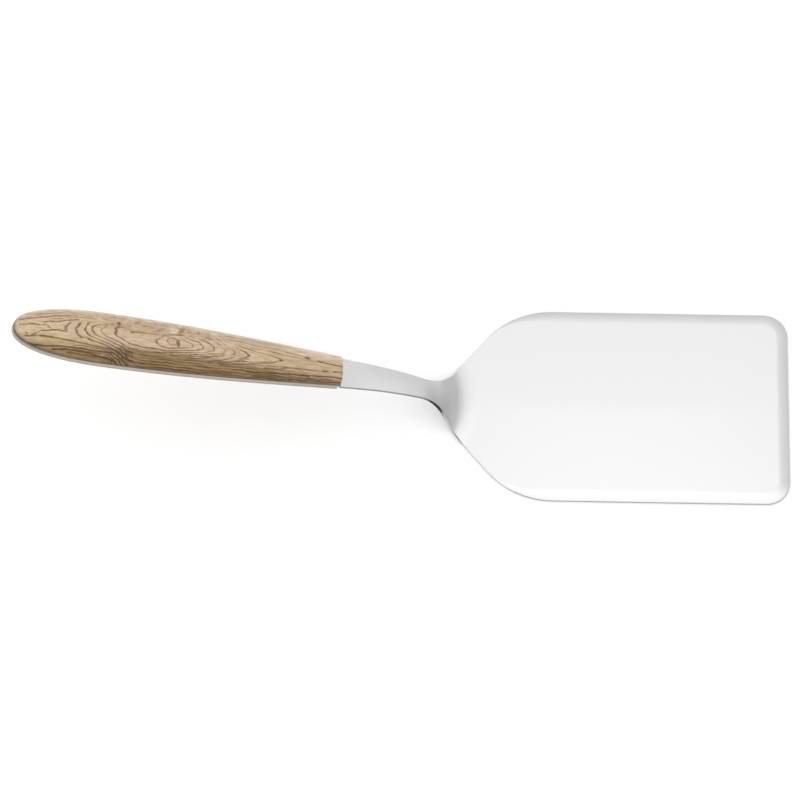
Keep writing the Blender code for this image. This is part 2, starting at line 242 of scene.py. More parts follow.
GRAIN_STROKES = (  # lines outside the rings' order: (half width, strength, places, front to rear)
    (0.42, 1, ((83, -6.3), (91, -6.3), (97, -6.2), (103.3, -6.3), (108.3, -6.5), (114, -5.7))),
    (0.45, 1, ((83.3, -8.7), (90, -7.8), (96.7, -7.2), (106, -7.3))),
    (0.32, 0.75, ((88, -7), (93, -6.9), (99, -6.8))),
    (0.32, 0.7, ((86, -8.4), (93, -8.1), (101, -7.9))),
    (0.38, 0.9, ((83.3, -5.3), (86.7, -5), (91.3, -4.7), (96.7, -4.3), (100, -4), (106, -3.6))),
    (0.30, 0.7, ((84, -5.8), (89, -5.5), (95, -5.3), (99, -5.4))),
    (0.50, 1, ((105, -3.6), (108, -3.4), (111.5, -3.2))),
    (0.40, 1, ((111, -3.2), (113.5, -3.7), (116, -3.9))),
    (0.40, 0.9, ((101.3, -0.8), (105.7, -0.9), (107.5, -1.4), (110, -1.6), (111.5, -2.6), (114, -3.6))),
    (0.40, 0.9, ((114, -3.6), (115, -2.9), (116.3, -2.2))),
    (0.45, 0.8, ((106.3, -0.8), (107.6, 0.3), (108.8, 1.3))),
    (0.45, 0.7, ((108.2, 1.4), (109, 0.9), (110.3, 0.5))),
    (0.38, 0.9, (
        (96.5, 4.4), (98.3, 4), (100, 3.6), (102.3, 3), (105, 2.4), (108.7, 1.9), (109.8, 0.8),
    )),
    (0.38, 0.85, ((110, 0.5), (113.3, 0.7), (115.7, 0.5), (118.5, 0.2))),
    (0.36, 0.8, ((97, 5.8), (101.3, 5.2), (105.7, 4.5), (110, 3.5), (113.3, 2.8), (118.2, 2))),
    (0.30, 0.45, ((90, 5.4), (94, 5.3), (98, 4.9), (103, 4), (107, 3.3))),
    (0.30, 0.45, ((92, 6.4), (96, 6.5), (101.3, 6.3), (106.7, 5.6), (111.7, 4.6), (116.3, 4))),
    (0.28, 0.3, ((84, 7.2), (92, 7.4), (98, 7.3), (104, 6.9), (109, 6))),
    (0.50, 1, ((76.4, 2.4), (77.6, 2.3), (78.7, 2.5))),
    (0.30, 0.6, ((59, 3.9), (64, 3.4), (69, 2.7), (73, 2.4), (77, 2.3))),
    (0.42, 0.8, ((65.4, 3.8), (66.6, 2.4), (67.8, 1.2), (68.8, 0.2))),
    (0.30, 0.6, ((12.8, 2), (14.7, 2.3), (20, 3), (25.3, 3.7), (31.7, 3.9), (37, 4.5), (43, 4.9))),
    (0.26, 0.5, ((22, 4.9), (30, 5.2), (36, 5.6), (44, 6.2))),
    (0.36, 1, ((-0.5, 0.4), (4, 0.8), (10, 1.3))),
    (0.42, 1, ((-0.5, -1.4), (1.5, -1.6), (4.2, -1.9))),
    (0.48, 1, ((4.8, -2), (6.5, -2.05), (8.2, -1.9))),
    (0.36, 0.8, ((8, -1.9), (11.3, -2.4), (14.7, -2.4), (20, -2.7), (24, -3.6), (30, -4))),
    (0.38, 1, (
        (-0.5, -3.6), (6.7, -3.9), (11, -4.2), (20, -4.8), (24, -5.3), (30, -5.7), (36, -6),
    )),
    (0.48, 1, ((11.5, -4.4), (14.7, -4.5), (19, -4.6))),
    (0.38, 0.7, ((-0.5, -4.9), (9, -5.3), (17, -5.7), (26, -6.4), (34, -7))),
    (0.55, 0.35, ((17, 4.8), (26.7, 5.7), (33.3, 6), (42, 6.3))),
    (0.34, 0.75, ((43.5, -1), (46.7, -2.3), (52.7, -3.8), (58, -4.9))),
    (0.34, 0.75, ((39.5, -1), (41.5, -2), (44.7, -3.3), (50, -4.7))),
    (0.34, 0.75, ((34.5, -1.2), (38, -2.3), (42, -3.6), (47, -4.6))),
    (0.34, 0.70, ((24.5, -1.3), (27, -1.9), (33.3, -2.9), (40, -4.2), (46, -5.2))),
)

# The grain's lines. A step is (from, to), and then its values there where they aren't 0 and 1.
BELOW_HEART = (0.2, -0.8)
RING_HALF = 0.5  # the middle between two rings
SIDE_HALF_WIDTH = 0.42  # half the width of a ring's line where it runs along the handle, in rings
RING_EDGE = (0.1, 1.0, 1.0, 0.0)
RING_FADE = (0.32, 0.60, 0.3, 0.9)
LOWER_RING_FADE = (0.60, 0.32, 0.25, 0.60)
BAND_AREA = (1.0, ("across", -3.9, -4.9), ("along", 78.0, 74.0))  # lines there follow the edge
BAND_LINE_PITCH = 0.85
BAND_LINE_START = 0.6
BAND_LINE_EDGE = (0.04, 0.40, 1.0, 0.0)
BAND_LINE_FADE = (0.34, 0.60, 0.45, 1.0)
STROKE_CORE = 0.3  # the share of a stroke's width that is full
STROKE_TAPER = 0.8  # millimetres over which it begins and ends
EYE_PLACE = (63.2, 0.95)
EYE_REACH = (1.9, 1.3)
EYE_EDGE = (0.05, 0.24, 0.6, 0.0)
DARK_SPOTS = (  # (place, reach along and across)
    ((60.9, 0.4), (0.9, 1.9)),
    ((82.6, 4.9), (1.1, 1.2)),
    ((13.3, 2.0), (1.6, 0.8)),
)
BURL_PLACE = (80.3, -6.2)
BURL_REACH = (4.6, 3.6)
BURL_LEAN = 0.8
BURL_SQUEEZE = 0.9
BURL_STEP = (0.38, 0.58)
PORE_STEP = (0.60, 0.72)
DARK_BAND_STEP = (0.50, 0.64, 0.0, 0.55)

# How far noise sways the grain, in millimetres
NOISE_MIDDLE = 0.5
SWAY_ACROSS = 0.9
SHAKE_ACROSS = 0.35
SHAKE_ALONG = 0.8
SHIFT_ALONG = 1.6
SWAY_OF_TONES = 1.5

# The wood's colours, with its painted highlight, and where each lies
WOOD_LIGHT = (0.580, 0.430, 0.29)
WOOD_LIGHT_LINE = (0.155, 0.080, 0.028)
WOOD_BROWN = (0.306, 0.192, 0.078)
WOOD_BROWN_LINE = (0.065, 0.026, 0.003)
WOOD_YELLOW = (0.530, 0.411, 0.225)
WOOD_KNOT = (0.70, 0.62, 0.44)
WOOD_PINK = (0.52, 0.36, 0.25)
# painted highlight for the wood's far rim and the far side of its front
WOOD_PAINTED_HIGHLIGHT = (0.740, 0.636, 0.51)
BROWN_FADE = (5.0, 35.0, 0.66, 1.0)
YELLOW_STEP = (0.52, 0.66, 0.0, 0.55)
PINK_STEP = (0.46, 0.34, 0.0, 0.6)
PAINTED_RIM_HIGHLIGHT = (3.4, 0.3, 0.0, 0.6)
SMUDGE_STEP = (0.50, 0.68)
YELLOW_AREA = (0.85, ("along", 82.0, 92.0), ("across", -0.8, -3.0))
SMUDGED_AREA = (0.5, ("across", 1.8, 3.4), ("along", 40.0, 52.0), ("along", 94.0, 84.0))
VEILED_AREA = (0.10, ("across", 2.0, 4.0), ("along", 54.0, 64.0), ("along", 92.0, 84.0))
FRONT_PAINTED_HIGHLIGHT_AREA = (0.25, ("along", 30.0, 12.0), ("across", 1.0, 4.0))
TANNED_AREA = (0.25, ("along", 34.0, 18.0), ("across", 3.0, 1.0))
KNOT_PLACE = (62.6, 5.3)
KNOT_REACH = (2.3, 1.9)
KNOT_SHARE = 0.8
KNOT_SHADE_PLACE = (62.6, 5.9)  # its first place is the one along plus half of the one across
KNOT_SHADE_REACH = (1.5, 2.2)
KNOT_SHADE_LEAN = 0.5
KNOT_SHADE_SHARE = 0.7
LINE_SHARE = 0.95
PORE_SHARE = 0.35
FIBRE_TONE = (0.25, 0.75, 0.85, 1.13)
BOARD_TONE = (0.30, 0.70, 0.80, 1.16)
SEAM_SHADE_HEIGHT = 0.0013
SEAM_SHADE = 0.12
WOOD_GLOSS = {"Specular IOR Level": 0.1, "Coat Weight": 0.60, "Coat Roughness": 0.20}
WOOD_ROUGHNESS = (0.36, 0.12, 0.08)  # plain, and what the lines and the fibre add
WOOD_RELIEF = 0.000015

# Steel
STEEL_SHADE = (0.696, 0.02, 0.01)  # plain, and what the grain and the clouds add
STEEL_ROUGHNESS = (0.23, 0.07, 0.05)
# painted shade that darkens the rolled edge band
BAND_PAINTED_SHADE = 0.930
STEEL_RELIEF = 0.000002
CUT_SHADE = (0.9, 0.2)
CUT_ROUGHNESS = (0.32, 0.2)
PIN_DARK = (0.56, 0.56, 0.57)
PIN_LIGHT = (0.64, 0.64, 0.65)
PIN_ROUGHNESS = (0.28, 0.14)

# Pale base: painted shade darkens the belly, and a line of painted shade lies under the seam
BASE_DARK = (0.42, 0.345, 0.265)
BASE_LIGHT = (0.53, 0.445, 0.35)
BELLY_PAINTED_SHADE_COLOUR = (0.04, 0.03, 0.02)
BELLY_PAINTED_SHADE_STEP = (-0.0027, -0.0017, 0.32, 0.0)
# painted shade under the seam
SEAM_PAINTED_SHADE_COLOUR = (0.09, 0.052, 0.022)
SEAM_PAINTED_SHADE_STEP = (-0.0007, -0.0003, 0.0, 0.75)
SEAM_PAINTED_SHADE_SPREAD = (-0.112, -0.092, 0.0007, 0.0)  # the line is this much taller at the butt
BASE_ROUGHNESS = (0.36, 0.12)
BASE_RELIEF = 0.000006

PLAIN_VALUES = {  # (colour, metallic, roughness) under the formulas
    "satin_steel": ((0.72, 0.72, 0.72), 1.0, 0.22),
    "cut_steel": ((0.4, 0.4, 0.4), 1.0, 0.40),
    "grained_wood": (WOOD_LIGHT, 0.0, 0.42),
    "pale_base": ((0.55, 0.46, 0.36), 0.0, 0.42),
    "pin_steel": ((0.60, 0.60, 0.61), 1.0, 0.35),
    "white_floor": ((0.95, 0.95, 0.95), 0.0, 1.0),
}
# Noise fields: (waves to the metre along X, Y and Z, detail, roughness). Over the wood the first two
# are waves to the millimetre along and across it, and the third is the field's depth in the noise.
NOISES = {
    "steel_grain": (60, 2400, 60, 3, 0.5),
    "steel_clouds": (35, 35, 35, 2, 0.5),
    "cut_grain": (900, 900, 5000, 2, 0.5),
    "pin_rings": (300, 300, 9000, 2, 0.5),
    "base_mottle": (250, 400, 400, 3, 0.5),
    "base_specks": (4000, 4000, 4000, 1, 0.5),
    "sway": (0.16, 0.5, 0, 3, 0.5),
    "shake": (0.7, 1.1, 7, 1, 0.5),
    "shift": (0.3, 0.8, 11, 2, 0.5),
    "ring_fade": (0.11, 1.1, 3, 2, 0.5),
    "band_fade": (0.07, 1.2, 51, 2, 0.5),
    "burl": (0.5, 1.5, 5, 3, 0.5),
    "fibre": (0.45, 5.5, 2, 3, 0.6),
    "pores": (0.9, 9, 9, 2, 0.5),
    "dark_bands": (0.05, 1.3, 13, 3, 0.6),
    "patches": (0.09, 0.35, 21, 1, 0.5),
    "smudges": (0.35, 0.6, 41, 3, 0.5),
    "boards": (0.22, 1.5, 31, 3, 0.6),
}

FRONT_X = BLADE_FLAT_LENGTH / 2
FOLD_X = -BLADE_FLAT_LENGTH / 2
SHOULDER_X = FRONT_X - BLADE_SIDE_LENGTH
UP = Vector((0.0, 0.0, 1.0))


def rounded(corners):
    """Points of an open outline through (x, y, radius, steps), each inner corner rounded."""
    points = [Vector(corners[0][:2])]
    for before, corner, after in zip(corners, corners[1:], corners[2:]):
        here = Vector(corner[:2])
        back = (Vector(before[:2]) - here).normalized()
        onward = (Vector(after[:2]) - here).normalized()
        radius, steps = corner[2:]
        half_angle = back.angle(onward) / 2
        centre = here + (back + onward).normalized() * radius / math.sin(half_angle)
        reach = radius / math.tan(half_angle)
        first = (here + back * reach - centre).normalized()
        last = (here + onward * reach - centre).normalized()
        for step in range(steps + 1):
            points.append(centre + first.slerp(last, step / steps) * radius)
    points.append(Vector(corners[-1][:2]))
    return points


def mirrored(half):
    """Closed outline from a half that starts and ends on the X axis."""
    return half + [Vector((p.x, -p.y)) for p in reversed(half[1:-1])]


def inward(outline, distance_at):
    """The outline moved inwards, each point by its own distance."""
    moved = []
    for before, here, after in zip(outline[-1:] + outline[:-1], outline, outline[1:] + outline[:1]):
        first = (here - before).normalized()
        second = (after - here).normalized()
        first_normal = Vector((first.y, -first.x))
        second_normal = Vector((second.y, -second.x))
        mitre = (first_normal + second_normal) / (1.0 + first_normal.dot(second_normal))
        moved.append(here + mitre * distance_at(here))
    return moved


def stacked(rings, cut_levels=()):
    """A closed mesh from rings with as many points each: walls between them and two caps.

    The walls that rise from the rings at cut_levels take the second material.
    """
    mesh = bmesh.new()
    loops = [[mesh.verts.new(point) for point in ring] for ring in rings]
    for level, (lower, upper) in enumerate(zip(loops, loops[1:])):
        around = zip(lower, lower[1:] + lower[:1], upper[1:] + upper[:1], upper)
        for corners in around:
            mesh.faces.new(corners).material_index = int(level in cut_levels)
    mesh.faces.new(loops[0])
    mesh.faces.new(loops[-1])
    bmesh.ops.recalc_face_normals(mesh, faces=mesh.faces[:])
    return mesh


def placed(name, mesh):
    """An object made from a bmesh, with its round surfaces shaded smooth."""
    data = bpy.data.meshes.new(name)
    mesh.to_mesh(data)
    mesh.free()
    data.shade_smooth()
    data.set_sharp_from_angle(angle=SMOOTH_ANGLE)
    obj = bpy.data.objects.new(name, data)
    bpy.context.scene.collection.objects.link(obj)
    return obj


def level_sheet(name, corners, height):
    """A level sheet through these corners."""
    mesh = bmesh.new()
    mesh.faces.new([mesh.verts.new((x, y, height)) for x, y in corners])
    return placed(name, mesh)


def tang_block(name, front_x, clearance, heights):
    """A block over the tang's outline between two heights."""
    outline = mirrored(rounded(tang_outline(front_x, clearance)) + [Vector((front_x, 0.0))])
    return placed(name, stacked([[Vector((p.x, p.y, z)) for p in outline] for z in heights]))


def combine(obj, other, operation):
    """Applies a Boolean of obj with other, and removes other."""
    modifier = obj.modifiers.new(operation, "BOOLEAN")
    modifier.operation = operation
    modifier.object = other
    bpy.context.view_layer.update()
    graph = bpy.context.evaluated_depsgraph_get()
    joined = bpy.data.meshes.new_from_object(obj.evaluated_get(graph))
    obj.modifiers.clear()
    obj.data = joined
    bpy.data.objects.remove(other)


def crank_stations():
    """Where the blank is bent: (x on the blank, point on the underside, normal), front to rear."""
    stations = [(FRONT_X, Vector((FRONT_X, 0.0, 0.0)), UP), (FOLD_X, Vector((FOLD_X, 0.0, 0.0)), UP)]
    bends = (
        (FOLD_EASE_RADIUS, FOLD_EASE_ANGLE, FOLD_EASE_STEPS, 0.0),
        (FOLD_RADIUS, RISER_ANGLE, FOLD_STEPS, RISER_LENGTH),
        (CREST_RADIUS, CREST_ANGLE, CREST_STEPS, 0.0),
        (NECK_ARC_RADIUS, HANDLE_ANGLE, NECK_STEPS, NECK_STRAIGHT),
    )
    point = Vector((FOLD_X, 0.0, 0.0))
    angle = 0.0
    for radius, end_angle, steps, straight in bends:
        turn = (end_angle - angle) / steps
        for _ in range(steps):
            back = abs(math.sin(angle + turn) - math.sin(angle))
            rise = abs(math.cos(angle + turn) - math.cos(angle))
            point = point + radius * Vector((-back, 0.0, rise))
            angle += turn
            stations.append((point.x, point, leaning(angle)))
        if straight:
            point = point + rising(angle) * straight
            stations.append((point.x, point, leaning(angle)))
    stations.append(
        (point.x - TANG_LENGTH, point + rising(HANDLE_ANGLE) * TANG_LENGTH, leaning(HANDLE_ANGLE))
    )
    return stations


def rising(angle):
    """Direction to the rear and up at this angle to the resting plane."""
    return Vector((-math.cos(angle), 0.0, math.sin(angle)))


def leaning(angle):
    """Normal of a sheet that rises to the rear at this angle."""
    return Vector((math.sin(angle), 0.0, math.cos(angle)))


def eased(value, start, end):
    """A smooth step from 0 to 1 as value goes from start to end."""
    share = min(max((value - start) / (end - start), 0.0), 1.0)
    return share * share * (3.0 - 2.0 * share)


def bent(stations, co):
    """Place of a point of the flat blank once the blank is bent over the bowed crank."""
    lag = FOLD_BOW * co.y * co.y * eased(co.x, *BOW_REACH)
    x = co.x + lag
    for front, rear in zip(stations, stations[1:]):
        if x >= rear[0]:
            break
    share = (x - rear[0]) / (front[0] - rear[0])
    on_underside = rear[1].lerp(front[1], share)
    normal = rear[2].lerp(front[2], share)
    return on_underside + normal * co.z + Vector((-lag, co.y, 0.0))


def tang_outline(front_x, clearance):
    """Half outline of the tang, grown by a clearance, from its rear end to front_x."""
    half_width = TANG_WIDTH / 2 + clearance
    rear_x = -TANG_LENGTH - clearance
    return [
        (rear_x, 0.0),
        (rear_x, half_width, TANG_CORNER_RADIUS + clearance, ARC_STEPS),
        (front_x, half_width),
    ]


def blank_outline(handle_x):
    """Closed outline of the flat blank: tang, step at the handle, neck, shoulders and blade."""
    blade_half = BLADE_WIDTH / 2
    waist_half = NECK_WAIST_WIDTH / 2
    waist_x = SHOULDER_X - (blade_half - waist_half) / math.tan(SHOULDER_ANGLE)
    step_x = handle_x + FIT_GAP
    tang_rear, tang_corner, _ = tang_outline(0.0, 0.0)
    half = rounded(
        [
            (handle_x + tang_rear[0], tang_rear[1]),
            (handle_x + tang_corner[0], *tang_corner[1:]),
            (step_x, TANG_WIDTH / 2, NECK_STEP_RADIUS, SMALL_ARC_STEPS),
            (step_x, NECK_REAR_WIDTH / 2, NECK_STEP_RADIUS, SMALL_ARC_STEPS),
            (waist_x, waist_half, NECK_FILLET_RADIUS, ARC_STEPS),
            (SHOULDER_X, blade_half, SHOULDER_RADIUS, SHOULDER_STEPS),
            (FRONT_X, blade_half, FRONT_CORNER_RADIUS, ARC_STEPS),
            (FRONT_X, 0.0),
        ]
    )
    return mirrored(half)


def working_share(x):
    """How far the thinned working edge has grown at x: from 0 on the shoulders to 1 on the sides."""
    reach = SHOULDER_RADIUS * math.tan(SHOULDER_ANGLE / 2)
    return eased(x, SHOULDER_X - reach * math.cos(SHOULDER_ANGLE), SHOULDER_X + reach)


def edge_profile(share):
    """(inset, height) of the sheet's edge, from the underside to the top, at a working share."""
    corner = CUT_CORNER + (EDGE_CORNER - CUT_CORNER) * share
    width = EDGE_BREAK + (EDGE_BAND_WIDTH - EDGE_BREAK) * share
    drop = EDGE_BREAK + (SHEET_THICKNESS - EDGE_THICKNESS - EDGE_BREAK) * share
    profile = [(corner + GUARD_WIDTH, 0.0)]
    for degrees in LOWER_ROUND_DEGREES:
        angle = math.radians(degrees)
        profile.append((corner * (1.0 - math.sin(angle)), corner * (1.0 - math.cos(angle))))
    shoulder = SHEET_THICKNESS - drop
    for degrees in UPPER_ROUND_DEGREES:
        angle = math.radians(degrees)
        profile.append((corner * (1.0 - math.cos(angle)), shoulder - corner * (1.0 - math.sin(angle))))
    first = corner / width
    for step in range(1, BAND_STEPS + 1):
        along = first + (1.0 - first) * step / BAND_STEPS
        profile.append((width * along, SHEET_THICKNESS - drop * (1.0 - along) ** BAND_POWER))
    profile.append((width + GUARD_WIDTH, SHEET_THICKNESS))
    return profile


def make_steel():
    """The blade, neck and tang: a fine blank with rolled working edges, bent over the crank."""
    stations = crank_stations()
    outline = blank_outline(stations[-2][0])
    profiles = {p.x: edge_profile(working_share(p.x)) for p in outline}
    rings = []
    for level in range(len(edge_profile(0.0))):
        ring = inward(outline, lambda p: profiles[p.x][level][0])
        rings.append([Vector((q.x, q.y, profiles[p.x][level][1])) for p, q in zip(outline, ring)])
    mesh = stacked(rings, CUT_LEVELS)
    for x, _, _ in stations[1:-1]:
        everything = mesh.verts[:] + mesh.edges[:] + mesh.faces[:]
        bmesh.ops.bisect_plane(mesh, geom=everything, plane_co=(x, 0.0, 0.0), plane_no=(1.0, 0.0, 0.0))
    cuts = int(BLADE_WIDTH / 2 / BOW_CUT_PITCH)
    for step in range(-cuts, cuts + 1):
        faces = [face for face in mesh.faces if BOW_REACH[0] < face.calc_center_median().x < FOLD_X]
        touched = faces + list({edge for face in faces for edge in face.edges})
        touched += list({vert for face in faces for vert in face.verts})
        across = (0.0, step * BOW_CUT_PITCH, 0.0)
        bmesh.ops.bisect_plane(mesh, geom=touched, plane_co=across, plane_no=(0.0, 1.0, 0.0))
    for vert in mesh.verts:
        vert.co = bent(stations, vert.co)
    return placed("fine_blade_and_neck", mesh)


def handle_matrix():
    """Frame at the handle's front end, on the seam, with the handle running along its -X."""
    _, underside, normal = crank_stations()[-2]
    place = underside + normal * (SHEET_THICKNESS + TANG_SEAT_DEPTH)
    return Matrix.Translation(place) @ Matrix.Rotation(HANDLE_ANGLE, 4, "Y")


def handle_outline():
    """Closed plan outline of the handle: square front end, swelling sides and round butt."""
    front_half = HANDLE_FRONT_WIDTH / 2
    widest_half = HANDLE_WIDTH / 2
    butt_length = HANDLE_LENGTH - HANDLE_WIDEST_AT
    half = [Vector((-HANDLE_LENGTH, 0.0))]
    for step in range(1, BUTT_STEPS + 1):
        angle = math.pi / 2 * step / BUTT_STEPS
        along = math.cos(angle) ** (2.0 / BUTT_POWER)
        across = math.sin(angle) ** (2.0 / BUTT_POWER)
        half.append(Vector((-HANDLE_WIDEST_AT - butt_length * along, widest_half * across)))
    for step in range(1, HANDLE_SIDE_STEPS):
        from_front = 1.0 - step / HANDLE_SIDE_STEPS
        swell = math.sin(math.pi / 2 * from_front)
        half.append(
            Vector((-HANDLE_WIDEST_AT * from_front, front_half + (widest_half - front_half) * swell))
        )
    front_corner = rounded(
        [half[-1][:], (0.0, front_half, HANDLE_CORNER_RADIUS, SMALL_ARC_STEPS), (0.0, 0.0)]
    )
    return mirrored(half + front_corner[1:])


def handle_ring(outline, keep, height_at, set_back=0.0):
    """The outline drawn in towards the handle's spine, keeping this share of its width."""
    ring = []
    for p in outline:
        x = p.x
        if x < -HANDLE_WIDEST_AT:
            x = -HANDLE_WIDEST_AT + (x + HANDLE_WIDEST_AT) * keep
        x = min(x, -set_back)
        ring.append(Vector((x, p.y * keep, height_at(x))))
    return ring


def scale_height(x):
    """Height of the wood scale's crown above the seam."""
    return SCALE_HEIGHT_FRONT + (SCALE_HEIGHT_BUTT - SCALE_HEIGHT_FRONT) * -x / HANDLE_LENGTH


def front_set_back(height):
    """How far the scale's front end is rounded back at this height."""
    into_round = height - (SCALE_HEIGHT_FRONT - FRONT_EDGE_RADIUS)
    if into_round <= 0.0:
        return 0.0
    share = min(into_round / FRONT_EDGE_RADIUS, 1.0)
    return FRONT_EDGE_RADIUS * (1.0 - math.sqrt(1.0 - share * share))


def make_scale(handle_frame):
    """The wood scale: crowned above, flat at the seam, with a keel that closes the tang channel."""
    outline = handle_outline()
    edge_keep = 1.0 - SEAM_EDGE_BREAK / (HANDLE_WIDTH / 2)
    low = FIT_GAP + SEAM_EDGE_BREAK
    rings = [handle_ring(outline, edge_keep, lambda x: FIT_GAP)]
    for step in range(CROWN_STEPS):
        angle = math.pi / 2 * step / CROWN_STEPS
        keep = math.cos(angle) ** (2.0 / CROWN_POWER)
        rise = math.sin(angle) ** (2.0 / CROWN_POWER)
        back = front_set_back(low + (SCALE_HEIGHT_FRONT - low) * rise)
        rings.append(handle_ring(outline, keep, lambda x: low + (scale_height(x) - low) * rise, back))
    scale = placed("fine_handle_scale", stacked(rings))

    heights = (FIT_GAP - TANG_SEAT_DEPTH, FIT_GAP + TANG_SEAT_DEPTH)
    combine(scale, tang_block("keel", -FIT_GAP, 0.0, heights), "UNION")
    scale.data.transform(handle_frame)
    return scale


def make_base(handle_frame):
    """The pale base: an even wall round the handle, a rounded belly and the tang's channel."""
    outline = handle_outline()
    widest_half = HANDLE_WIDTH / 2
    wall_depth = BASE_DEPTH - BASE_EDGE_RADIUS
    rings = [handle_ring(outline, 1.0 - SEAM_EDGE_BREAK / widest_half, lambda x: 0.0)]
    rings.append(handle_ring(outline, 1.0, lambda x: -SEAM_EDGE_BREAK))
    for step in range(CROWN_STEPS + 1):
        angle = math.pi / 2 * step / CROWN_STEPS
        keep = 1.0 - BASE_EDGE_RADIUS * (1.0 - math.cos(angle)) / widest_half
        depth = wall_depth + BASE_EDGE_RADIUS * math.sin(angle)
        rings.append(handle_ring(outline, keep, lambda x: -depth))
    base = placed("fine_handle_base", stacked(rings))

    floor = -(TANG_SEAT_DEPTH + SHEET_THICKNESS + FIT_GAP)
    combine(base, tang_block("channel", OVERRUN, FIT_GAP, (floor, OVERRUN)), "DIFFERENCE")
    base.data.transform(handle_frame)
    return base


class Value:
    """The output of a shader node, so that a material's formulas read as sums."""

    def __init__(self, sketch, socket):
        self.sketch = sketch
        self.socket = socket

    def __add__(self, other):
        return self.sketch.math("ADD", self, other)

    def __sub__(self, other):
        return self.sketch.math("SUBTRACT", self, other)

    def __rsub__(self, other):
        return self.sketch.math("SUBTRACT", other, self)

    def __mul__(self, other):
        return self.sketch.math("MULTIPLY", self, other)

    def __truediv__(self, other):
        return self.sketch.math("DIVIDE", self, other)

    __radd__ = __add__
    __rmul__ = __mul__


class Sketch:
    """Adds formula nodes to a node tree."""

    def __init__(self, tree):
        self.tree = tree

    def node(self, kind, **settings):
        node = self.tree.nodes.new(kind)
        for name, value in settings.items():
            setattr(node, name, value)
        return node

    def join(self, value, socket):
        """Feeds a formula or a number into a node's input."""
        if isinstance(value, Value):
            self.tree.links.new(value.socket, socket)
        else:
            socket.default_value = value

    def math(self, operation, *values):
        node = self.node("ShaderNodeMath", operation=operation)
        for value, socket in zip(values, node.inputs):
            self.join(value, socket)
        return Value(self, node.outputs[0])

    def place(self, kind="Object", frame_matrix=None):
        """The three coordinates of the shaded point, if asked in a tilted frame."""
        coordinates = self.node("ShaderNodeTexCoord").outputs[kind]
        if frame_matrix:
            mapping = self.node("ShaderNodeMapping", vector_type="TEXTURE")
            mapping.inputs["Location"].default_value = frame_matrix.translation
            mapping.inputs["Rotation"].default_value = frame_matrix.to_euler()
            self.tree.links.new(coordinates, mapping.inputs["Vector"])
            coordinates = mapping.outputs[0]
        parts = self.node("ShaderNodeSeparateXYZ")
        self.tree.links.new(coordinates, parts.inputs[0])
        return [Value(self, output) for output in parts.outputs]

    def ramp(self, value, low, high, from_share=0.0, to_share=1.0):
        """A smooth step from one share to another as value goes from low to high."""
        node = self.node("ShaderNodeMapRange", interpolation_type="SMOOTHSTEP")
        for number, socket in zip((value, low, high, from_share, to_share), node.inputs):
            self.join(number, socket)
        return Value(self, node.outputs[0])

    def curve(self, value, points):
        """A smooth curve through (place, height) points, straight on past both ends."""
        first, last = points[0][0], points[-1][0]
        low = min(height for _, height in points)
        high = max(height for _, height in points)
        share = (value - first) / (last - first)
        node = self.node("ShaderNodeFloatCurve")
        line = node.mapping.curves[0]
        for _ in points[2:]:
            line.points.new(0.5, 0.5)
        for knot, (place, height) in zip(line.points, points):
            knot.location = ((place - first) / (last - first), (height - low) / (high - low))
        node.mapping.update()
        self.join(share, node.inputs["Value"])
        return Value(self, node.outputs[0]) * (high - low) + low

    def noise(self, name, x, y, z=1.0):
        """One of the noise fields, from 0 to 1, at a place."""
        *waves, detail, roughness = NOISES[name]
        place = [value * wave for value, wave in zip((x, y, z), waves)]
        parts = self.node("ShaderNodeCombineXYZ")
        for value, socket in zip(place, parts.inputs):
            self.join(value, socket)
        node = self.node("ShaderNodeTexNoise")
        self.tree.links.new(parts.outputs[0], node.inputs["Vector"])
        for setting, value in (("Scale", 1.0), ("Detail", detail), ("Roughness", roughness)):
            self.join(value, node.inputs[setting])
        return Value(self, node.outputs[0])

    def blend(self, share, first, second):
        """A colour between two, each a plain colour or a formula's."""
        node = self.node("ShaderNodeMix", data_type="RGBA")
        self.join(share, node.inputs["Factor"])
        for colour, name in ((first, "A"), (second, "B")):
            socket = [s for s in node.inputs if s.name == name and s.type == "RGBA"][0]
            self.join(colour if isinstance(colour, Value) else (*colour, 1.0), socket)
        return Value(self, [s for s in node.outputs if s.type == "RGBA"][0])

    def grey(self, share):
        """The grey of this share."""
        return self.blend(share, BLACK, WHITE)

    def squared_way(self, x, y, place, reach):
        """The squared way from a place, in shares of its reaches along and across."""
        way_x = (x - place[0]) / reach[0]
        way_y = (y - place[1]) / reach[1]
        return way_x * way_x + way_y * way_y

    def spot(self, x, y, place, reach):
        """1 at a place, falling smoothly to 0 at its reaches along and across."""
        return self.ramp(self.squared_way(x, y, place, reach), 0.0, 1.0, 1.0, 0.0)

    def area(self, measures, limits):
        """A share within (share, (measure, none up to here, full from here), ...)."""
        share = limits[0]
        for name, low, high in limits[1:]:
            share = self.ramp(measures[name], low, high) * share
        return share

    def bump(self, height, distance, shader):
        """Lets a height in shares of a distance roughen the shader's surface."""
        node = self.node("ShaderNodeBump")
        node.inputs["Distance"].default_value = distance
        self.join(height, node.inputs["Height"])
        self.tree.links.new(node.outputs[0], shader.inputs["Normal"])


def layered(shares, *fields):
    """A plain share plus each field times its own share."""
    total = shares[0]
    for share, field in zip(shares[1:], fields):
        total = field * share + total
    return total


def new_material(name):
    """A Principled material with its plain values, and its shader node."""
    colour, metallic, roughness = PLAIN_VALUES[name]
    material = bpy.data.materials.new(name)
    material.use_nodes = True
    shader = material.node_tree.nodes["Principled BSDF"]
    shader.inputs["Base Color"].default_value = (*colour, 1.0)
    shader.inputs["Metallic"].default_value = metallic
    shader.inputs["Roughness"].default_value = roughness
    return material, shader


def dress(obj, materials, node):
    """Gives a fine mesh its materials, and lets it stand for its node."""
    kept = [polygon.material_index for polygon in obj.data.polygons]
    obj.data.materials.clear()
    for material in materials:
        obj.data.materials.append(material)
    if len(materials) > 1:
        obj.data.polygons.foreach_set("material_index", kept)
    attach(obj, "root")
    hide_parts(node)


